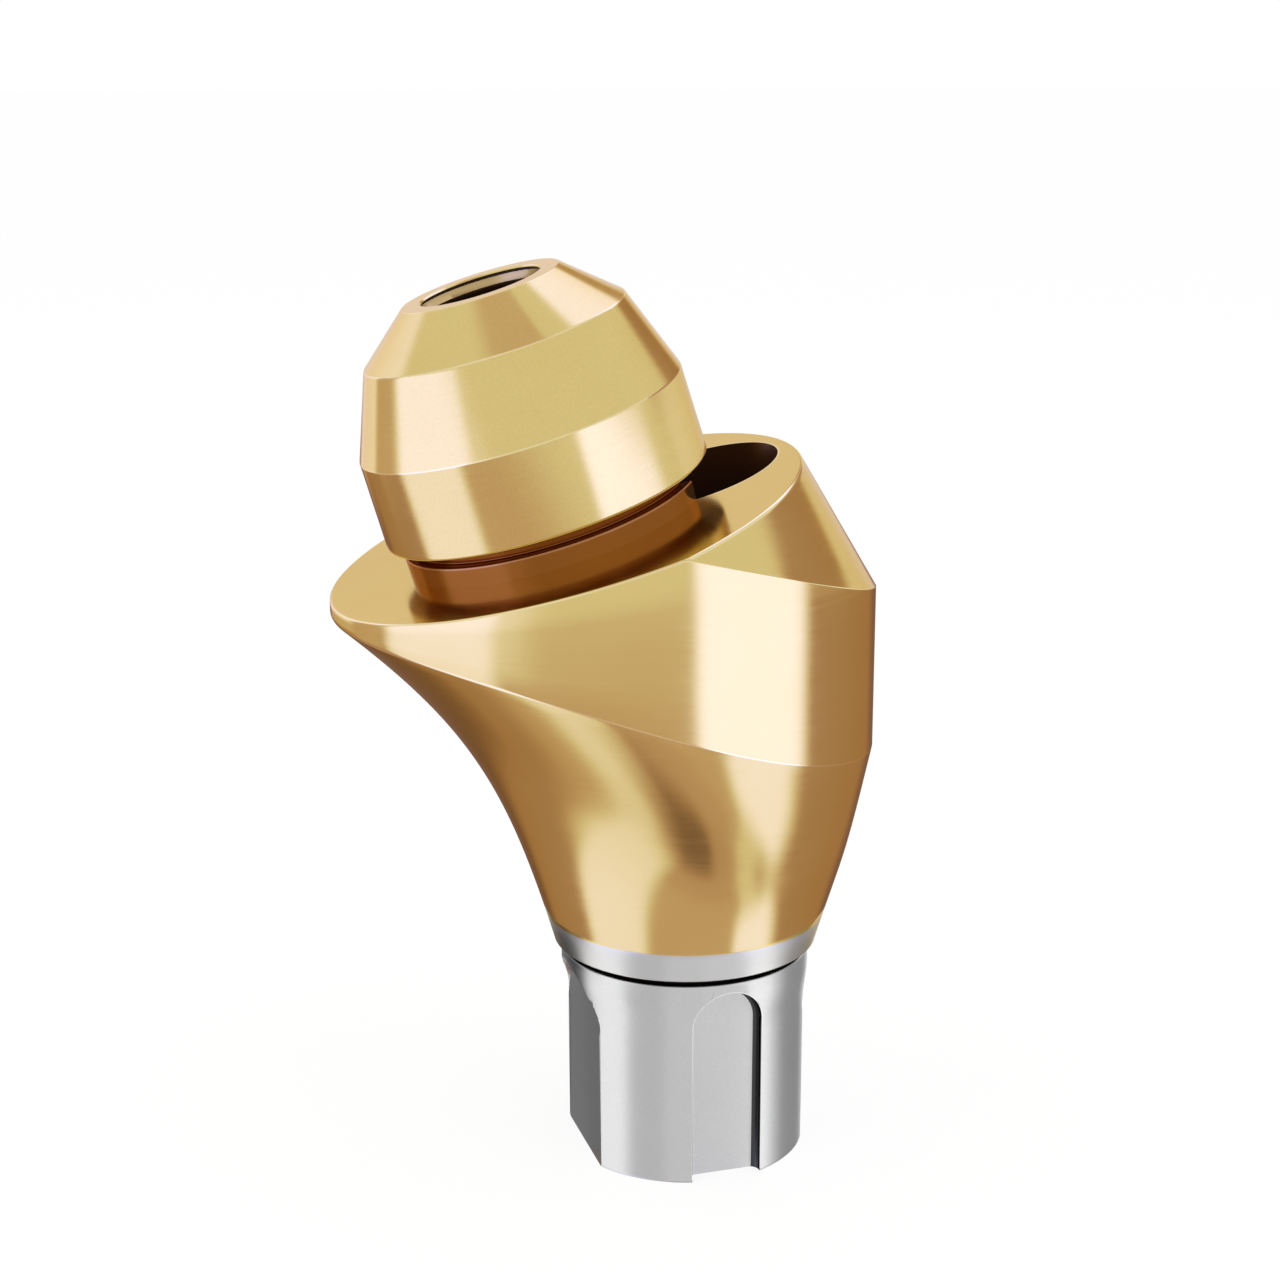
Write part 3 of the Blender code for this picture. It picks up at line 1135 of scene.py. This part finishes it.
@dataclass
class Plug:
    """The groove, collar and slotted plug that enter the implant."""

    groove_r: float = 1.120 * MM
    groove_height: float = 0.075 * MM
    collar_r: float = 1.200 * MM
    collar_height: float = 0.210 * MM
    collar_taper: float = 0.270 * MM
    taper_round: float = 1.200 * MM
    radius: float = 1.170 * MM
    edge: float = 0.012 * MM
    bottom_edge: float = 0.020 * MM
    bottom_ring: float = 0.200 * MM
    broken_edge: float = 0.009 * MM
    sharp: float = math.radians(20.0)
    spigot: float = 0.150 * MM
    margin: float = 0.002 * MM
    steps: int = 256
    pockets: tuple[Pocket, ...] = (
        Pocket("slot_front", 0.346 * MM, 1.914 * MM, 0.978 * MM, 0.067 * MM, 0.070 * MM, 0.0),
        Pocket("slot_back", 0.346 * MM, 1.914 * MM, 0.978 * MM, 0.067 * MM, 0.070 * MM, math.pi),
        Pocket("flat_right", 0.570 * MM, 1.925 * MM, 1.018 * MM, 0.0, 0.0, math.pi / 2.0),
        Pocket("flat_left", 0.570 * MM, 1.925 * MM, 1.018 * MM, 0.0, 0.0, -math.pi / 2.0),
    )

    def reach(self, z: float) -> float:
        """Give the plug's radius at a height, from the plain end up to the collar."""
        taper_z = FOOT_Z - self.groove_height - self.collar_height - self.collar_taper
        return self.radius + (self.collar_r - self.radius) * clamp((z - taper_z) / self.collar_taper)

    def beside_pockets(self, z: float) -> bool:
        """Tell whether a height lies between the plug's end and the collar's upper edge."""
        return self.bottom_edge * 2.0 < z < FOOT_Z - self.groove_height - 0.03 * MM

    def on_rim(self, edge: bmesh.types.BMEdge) -> bool:
        """Tell whether an edge is a sharp one on the outside of a pocket.

        Args:
            edge: The edge.

        Returns:
            Whether it is to be broken.
        """
        spot = (edge.verts[0].co + edge.verts[1].co) / 2.0
        near = abs(spot.xy.length - self.reach(spot.z)) < 2.0 * self.margin
        sharp = len(edge.link_faces) == 2 and edge.calc_face_angle(0.0) > self.sharp
        return sharp and near and self.beside_pockets(spot.z)

    def in_groove(self, spot: Vector, _: Vector) -> bool:
        """Tell whether a face belongs to the groove over the collar."""
        high = spot.z > FOOT_Z - self.groove_height - self.margin
        return high and spot.xy.length < self.collar_r - 10.0 * self.margin

    def on_slot_wall(self, spot: Vector, way: Vector) -> bool:
        """Tell by its middle and normal whether a face is a side wall of a narrow slot."""
        slot = self.pockets[0]
        sideways = abs(spot.x) < slot.half_width + 2.0 * slot.offset and abs(way.y) < 0.93
        outside = abs(spot.y) > slot.floor - self.margin / 2.0 and abs(way.z) < 0.95
        return sideways and outside and spot.xy.length < self.radius - 3.0 * self.margin

    def on_broken_edge(self, spot: Vector, way: Vector) -> bool:
        """Tell by its middle and normal whether a face is a pocket's broken edge."""
        reach, out = self.reach(spot.z), spot.xy.length
        near = reach - 6.0 * self.margin < out < reach + self.margin
        return near and self.beside_pockets(spot.z) and way.xy.dot(spot.xy.normalized()) < 0.965

    def break_edges(self, piece: Object) -> None:
        """Bevel the outer edges of the pockets.

        Args:
            piece: The plug with its pockets.
        """
        activate(piece)
        bpy.ops.object.mode_set(mode="EDIT")
        pick_edges(piece, self.on_rim)
        bpy.ops.mesh.bevel(offset=self.broken_edge, segments=2, profile=0.5, clamp_overlap=False)
        face_outwards()
        bpy.ops.object.mode_set(mode="OBJECT")

    def build(self, metal: Material, painted_shade: Material, bright: Material) -> None:
        """Model the plug.

        Args:
            metal: Its metal.
            painted_shade: The painted shade, a near-black copy of the titanium, on the groove and the
                pockets' side walls.
            bright: The painted highlight, a paler copy of the titanium, on the pockets' broken edges.
        """
        groove_z = FOOT_Z - self.groove_height
        collar_z = groove_z - self.collar_height
        corners = [
            (self.groove_r, FOOT_Z + self.spigot, 0.0),
            (self.groove_r, groove_z, 0.0),
            (self.collar_r, groove_z, self.edge),
            (self.collar_r, collar_z, self.taper_round),
            (self.radius, collar_z - self.collar_taper, self.taper_round),
            (self.radius, 0.0, self.bottom_edge),
            (self.radius - self.bottom_ring, 0.0, 0.0),
        ]
        piece = turned("plug", rounded(corners), self.steps)
        set_metals(piece, metal, painted_shade, bright)
        for pocket in self.pockets:
            cut(piece, pocket.cutter(self.collar_r + pocket.lap))
        self.break_edges(piece)
        Channel().drill(piece)
        # Painted shade on the groove and on the slots' side walls.
        paint(piece, 1, self.in_groove)
        paint(piece, 1, self.on_slot_wall)
        # Painted highlight on the pockets' broken edges.
        paint(piece, 2, self.on_broken_edge)
        smooth(piece, 28.0)
        mount(piece)


@dataclass(frozen=True)
class Panel:
    """A soft-edged patch of the light tent, bright like a lit sheet or dark like a card.

    It runs from one azimuth to another, from +X towards +Y, and from one height to another,
    from the horizon up. Both are in degrees, and so are the widths of its edges.
    """

    start: float
    end: float
    level: float
    side_edge: float
    low: float = -90.0
    high: float = 90.0
    level_edge: float = 5.0

    def share(self, azimuth: float, height: float) -> float:
        """Tell how far the patch covers a direction.

        Args:
            azimuth: The direction's azimuth in degrees.
            height: Its height in degrees.

        Returns:
            A share from 0 to 1.
        """
        middle, half = (self.start + self.end) / 2.0, (self.end - self.start) / 2.0
        away = abs((azimuth - middle + 180.0) % 360.0 - 180.0)
        sideways = 1.0 if half >= 180.0 else self.ease((half - away) / self.side_edge)
        over = self.ease((height - self.low) / self.level_edge)
        under = self.ease((self.high - height) / self.level_edge)
        return sideways * over * under

    @staticmethod
    def ease(x: float) -> float:
        """Step softly from 0 to 1 as x goes from -0.5 to 0.5."""
        t = clamp(x + 0.5)
        return t * t * (3.0 - 2.0 * t)


def light_level(plain: float, panels: Sequence[Panel], azimuth: float, height: float) -> float:
    """Lay panels over a plain sheet, each one over those before it.

    Args:
        plain: The sheet's own level.
        panels: The panels.
        azimuth: The azimuth in degrees.
        height: The height in degrees.

    Returns:
        The brightness in that direction.
    """
    level = plain
    for panel in panels:
        level += (panel.level - level) * panel.share(azimuth, height)
    return level


def only_reflected(screen: Object, name: str, colours: Sequence[Colour]) -> None:
    """Let a piece of the studio glow, seen in reflections alone.

    Args:
        screen: The piece.
        name: The name of its material.
        colours: The colour of its glow at each vertex.
    """
    glow = screen.data.color_attributes.new(name="glow", type="FLOAT_COLOR", domain="POINT")
    for stored, colour in zip(glow.data, colours):
        stored.color = (*colour, 1.0)
    material = bpy.data.materials.new(name)
    sheet = NodeSheet(material)
    stored = sheet.add("ShaderNodeAttribute", {}, attribute_name="glow").outputs["Color"]
    light = sheet.add("ShaderNodeEmission", {"Color": stored}).outputs[0]
    sheet.feed(sheet.tree.nodes["Material Output"], {"Surface": light})
    material.cycles.emission_sampling = "NONE"
    screen.data.materials.append(material)
    screen.visible_camera = False
    screen.visible_diffuse = False
    screen.visible_shadow = False
    screen.visible_transmission = False


@dataclass
class LightTent:
    """The white tent round the part, with its lit panels and dark cards.

    Only reflections show it, so that the polished metal has something to mirror. Its tints
    grow from the first to the second of their levels.
    """

    reach: float = 60.0 * MM
    columns: int = 240
    rows: int = 120
    plain: float = 1.0
    panels: tuple[Panel, ...] = (
        Panel(120, 300, 0.72, 30, 66, 100, 10),
        Panel(196, 308, 0.64, 6, -120, -12, 14),
        Panel(200, 300, 0.55, 6, -120, -66, 6),
        Panel(330, 518, 0.42, 8, -120, -8, 4),
        Panel(330, 518, 0.60, 8, -120, -56, 10),
        Panel(44, 108, 0.20, 16, -46, -5, 6),
        Panel(56, 104, 1.15, 10, 3, 34, 6),
        Panel(98, 142, 1.36, 8, -12, 34, 8),
        Panel(-8, 50, 0.43, 8, 9.5, 27, 4),
        Panel(5, 54, 1.10, 12, -7, 9, 3),
        Panel(20, 64, 1.62, 8, 33, 75, 6),
        Panel(44, 74, 0.60, 10, 22, 36, 6),
        Panel(132, 155, 0.66, 6, -20, 20, 8),
        Panel(200, 226, 1.22, 18, -14, 16, 9),
        Panel(0, 360, 0.50, 1, -120, -75, 8),
        Panel(172, 272, 0.20, 24, -120, -76, 8),
        Panel(144, 212, 1.22, 24, -74, -54, 14),
        Panel(158, 212, 1.32, 18, -66, -42, 24),
        Panel(160, 212, 1.40, 9, -54, 16, 24),
        Panel(160, 212, 1.62, 8, -12, 16, 9),
        Panel(310, 346, 1.16, 12, -63, -40, 12),
        Panel(302, 340, 1.50, 10, -60, -30, 10),
        Panel(293, 344, 1.50, 8, -38, 6, 10),
        Panel(292, 339, 1.78, 8, -36, 5, 8),
    )
    dark_levels: Span = (0.95, 0.35)
    dark_tint: Colour = (1.38, 0.88, 0.72)
    bright_levels: Span = (1.0, 1.6)
    bright_tint: Colour = (0.94, 1.00, 1.98)

    def glow(self, azimuth: float, height: float) -> Colour:
        """Give the tent's colour: warm in the dark cards, cool in the lit sheets.

        Args:
            azimuth: The azimuth in degrees.
            height: The height in degrees.

        Returns:
            The colour in that direction.
        """
        level = light_level(self.plain, self.panels, azimuth, height)
        spans = (self.dark_levels, self.bright_levels)
        dark, bright = (clamp((level - start) / (end - start)) for start, end in spans)
        tints = zip(self.dark_tint, self.bright_tint)
        return tuple(level * (1.0 + dark * (d - 1.0) + bright * (b - 1.0)) for d, b in tints)

    def build(self) -> None:
        """Lay a grid on the sphere and let it glow."""
        deselect()
        across, up = self.columns, self.rows
        bpy.ops.mesh.primitive_grid_add(x_subdivisions=across, y_subdivisions=up, size=1.0)
        tent = bpy.context.object
        tent.name = "light_tent"
        ways = [((v.co.x + 0.5) * 360.0, v.co.y * 180.0) for v in tent.data.vertices]
        for vert, way in zip(tent.data.vertices, ways):
            vert.co = direction(*way) * self.reach + MIDDLE
        only_reflected(tent, "lit_cloth", [self.glow(*way) for way in ways])


@dataclass
class PlugScreen:
    """A ring of neutral card round the bare metal, which only reflections show.

    Each ring of it has a radius, a height and how far its panels are spread from the front.
    """

    rings: tuple[tuple[float, float, float], ...] = (
        (1.70 * MM, -0.70 * MM, 1.0),
        (1.70 * MM, 1.70 * MM, 1.0),
        (1.45 * MM, 2.24 * MM, 1.35),
    )
    front: float = 253.0
    steps: int = 240
    plain: float = 0.88
    panels: tuple[Panel, ...] = (
        Panel(219, 240, 0.75, 9),
        Panel(264, 291, 0.93, 5),
        Panel(122, 152, 0.29, 8),
        Panel(150, 181, 0.08, 8),
        Panel(185, 215, 1.38, 8),
        Panel(291, 312, 1.50, 8),
        Panel(321, 365, 0.42, 12),
        Panel(3, 20, 1.25, 8),
    )

    def build(self) -> None:
        """Stand the ring round the implant axis."""
        profile = [(reach, z) for reach, z, _ in self.rings]
        screen = circle_at("plug_screen", *profile[0], self.steps)
        extrude_rings(profile)
        bpy.ops.object.mode_set(mode="OBJECT")
        levels = []
        for x, y, z in (v.co for v in screen.data.vertices):
            spread = min(self.rings, key=lambda ring: abs(ring[1] - z))[2]
            away = math.degrees(math.atan2(y, x)) - self.front
            azimuth = self.front + ((away + 180.0) % 360.0 - 180.0) * spread
            levels.append(light_level(self.plain, self.panels, azimuth, 0.0))
        only_reflected(screen, "neutral_card", [(level,) * 3 for level in levels])


@dataclass
class SoftBox:
    """A square lamp that faces the part and lights the floor."""

    name: str
    azimuth: float
    height: float
    width: float = 60.0 * MM
    radiance: float = 0.5
    reach: float = 75.0 * MM

    def build(self) -> None:
        """Hang the lamp and aim it at the part's middle."""
        way = direction(self.azimuth, self.height)
        lamp = bpy.data.lights.new(self.name, "AREA")
        lamp.shape = "RECTANGLE"
        lamp.size = self.width
        lamp.size_y = self.width
        lamp.energy = self.radiance * math.pi * self.width * self.width
        hung = bpy.data.objects.new(self.name, lamp)
        aim = way.to_track_quat("Z", "Y").to_matrix().to_4x4()
        hung.matrix_world = Matrix.Translation(way * self.reach + MIDDLE) @ aim
        hung.visible_camera = False
        hung.visible_glossy = False
        bpy.context.scene.collection.objects.link(hung)


@dataclass
class Studio:
    """The floor, the white surroundings, the light tent and the lamps over the floor."""

    floor_size: float = 4.0
    floor_z: float = -0.0002 * MM
    floor_grey: float = 0.20
    floor_glow: float = 0.86
    floor_roughness: float = 0.9
    diffuse_level: float = 0.65
    boxes: tuple[SoftBox, ...] = (
        SoftBox("box_left", 183.0, 50.0),
        SoftBox("box_right", 312.0, 50.0),
    )

    def build(self) -> None:
        """Set up the world, the tent, the lamps and the floor."""
        self.world()
        LightTent().build()
        PlugScreen().build()
        for box in self.boxes:
            box.build()
        self.floor()
        bpy.context.scene.view_settings.view_transform = "Standard"

    def world(self) -> None:
        """Surround the part with plain white, dimmer where it lights matt surfaces."""
        world = bpy.data.worlds.new("white_room")
        bpy.context.scene.world = world
        sheet = NodeSheet(world)
        path = sheet.add("ShaderNodeLightPath", {}).outputs
        seen = sheet.math("MAXIMUM", path["Is Camera Ray"], path["Is Glossy Ray"])
        also = sheet.math("MAXIMUM", seen, path["Is Transmission Ray"])
        level = sheet.math("MULTIPLY_ADD", also, 1.0 - self.diffuse_level, self.diffuse_level)
        sheet.feed(sheet.shader, {"Color": (1.0, 1.0, 1.0), "Strength": level})

    def floor(self) -> None:
        """Lay a white floor that keeps the part's soft shadow."""
        deselect()
        bpy.ops.mesh.primitive_plane_add(size=self.floor_size, location=(0.0, 0.0, self.floor_z))
        floor = bpy.context.object
        floor.name = "floor"
        material = bpy.data.materials.new("white_floor")
        sheet = NodeSheet(material)
        path = sheet.add("ShaderNodeLightPath", {}).outputs
        looks = {
            "Base Color": (self.floor_grey,) * 3,
            "Roughness": self.floor_roughness,
            "Specular IOR Level": 0.0,
            "Emission Color": (1.0, 1.0, 1.0),
            "Emission Strength": sheet.math("MULTIPLY", path["Is Camera Ray"], self.floor_glow),
        }
        sheet.feed(sheet.shader, looks)
        floor.data.materials.append(material)
        floor.visible_glossy = False


@dataclass
class Viewpoint:
    """The camera at the photograph's angle."""

    place: tuple[float, float, float] = (-6.271 * MM, -19.311 * MM, 10.165 * MM)
    ahead: tuple[float, float, float] = (0.2799, 0.9281, -0.2456)
    roll: float = math.radians(-0.103)
    lens: float = 62.365
    sensor: float = 36.0
    clip: Span = (0.1 * MM, 10.0)

    def build(self) -> None:
        """Set up the camera."""
        camera = bpy.data.cameras.new("camera")
        camera.type = "PERSP"
        camera.lens = self.lens
        camera.sensor_width = self.sensor
        camera.sensor_fit = "HORIZONTAL"
        camera.clip_start, camera.clip_end = self.clip
        held = bpy.data.objects.new("camera", camera)
        turn = Vector(self.ahead).to_track_quat("-Z", "Y").to_matrix().to_4x4()
        held.matrix_world = Matrix.Translation(self.place) @ turn @ Matrix.Rotation(self.roll, 4, "Z")
        bpy.context.scene.collection.objects.link(held)
        bpy.context.scene.camera = held


def main() -> None:
    """Build the part's pieces, then the studio round them."""
    head = Head()
    # The heights of the head's painted highlight lines: its foot and its creases.
    edges = (HEAD_FOOT + 0.008 * MM, *head.creases())
    # Painted shade colours: orange under the head and in the neck's cut wall, brown in the channel, dark
    # brown in the bore.
    painted_shade_orange, brown, dark_brown = (0.55, 0.20, 0.04), (0.11, 0.045, 0.018), (0.05, 0.02, 0.008)
    painted_shade_black, dark_grey = (0.06, 0.06, 0.06), (0.3, 0.3, 0.3)
    grey, painted_highlight_grey = (0.85, 0.85, 0.85), (0.88, 0.88, 0.88)
    # Painted highlight colours for edge lines and edge rings, and the painted light tan of the bore's
    # lead-in.
    painted_highlights, lead, painted_edge_highlight = (0.75, 0.62, 0.33), (0.80, 0.58, 0.28), (0.77, 0.65, 0.36)
    on_head, on_implant = Axis.HEAD, Axis.IMPLANT
    # Painted shade: a matt orange copy of the gold for the underside and the neck's cut wall.
    under = NeckMetal("gold_under_head", on_head, gold=painted_shade_orange, depth=painted_shade_orange, metallic=0.25).make()
    head.build(
        CoatedMetal("gold_on_head", on_head, Surface.SATIN, painted_highlights=edges, painted_highlight_gold=painted_highlights).make(),
        under,
        # Painted shade deep in the bore, and painted light on its lead-in.
        CoatedMetal("gold_in_bore", on_head, gold=dark_brown, gold_roughness=0.50, metallic=0.3).make(),
        CoatedMetal("gold_in_lead", on_head, gold=lead, gold_roughness=0.24, metallic=0.35).make(),
    )
    # The neck's coating carries painted shade.
    Neck().build(NeckMetal("gold_in_neck", on_head).make(), under)
    Body().build(
        # Painted highlights: a pale ring round the channel's mouth, and paler gold on the body's edge
        # rings.
        CoatedMetal("gold_and_titanium", on_implant, highlight_ring_r=CHANNEL_R).make(),
        CoatedMetal("painted_highlight_gold", on_implant, gold=painted_edge_highlight).make(),
        # Painted shade in the screw channel.
        CoatedMetal("gold_in_channel", on_implant, gold=brown, gold_roughness=0.30, metallic=0.6).make(),
    )
    Plug().build(
        CoatedMetal("bare_titanium", on_implant, Surface.SATIN, edge_tint=grey).make(),
        # Painted shade: a near-black copy of the titanium.
        CoatedMetal("shaded_titanium", on_implant, titanium=painted_shade_black, edge_tint=dark_grey).make(),
        # Painted highlight: a paler copy of the titanium.
        CoatedMetal("titanium_painted_highlight", on_implant, titanium=painted_highlight_grey, edge_tint=grey).make(),
    )
    Studio().build()
    Viewpoint().build()
    log.info("studio and camera are set")


if __name__ == "__main__":
    main()
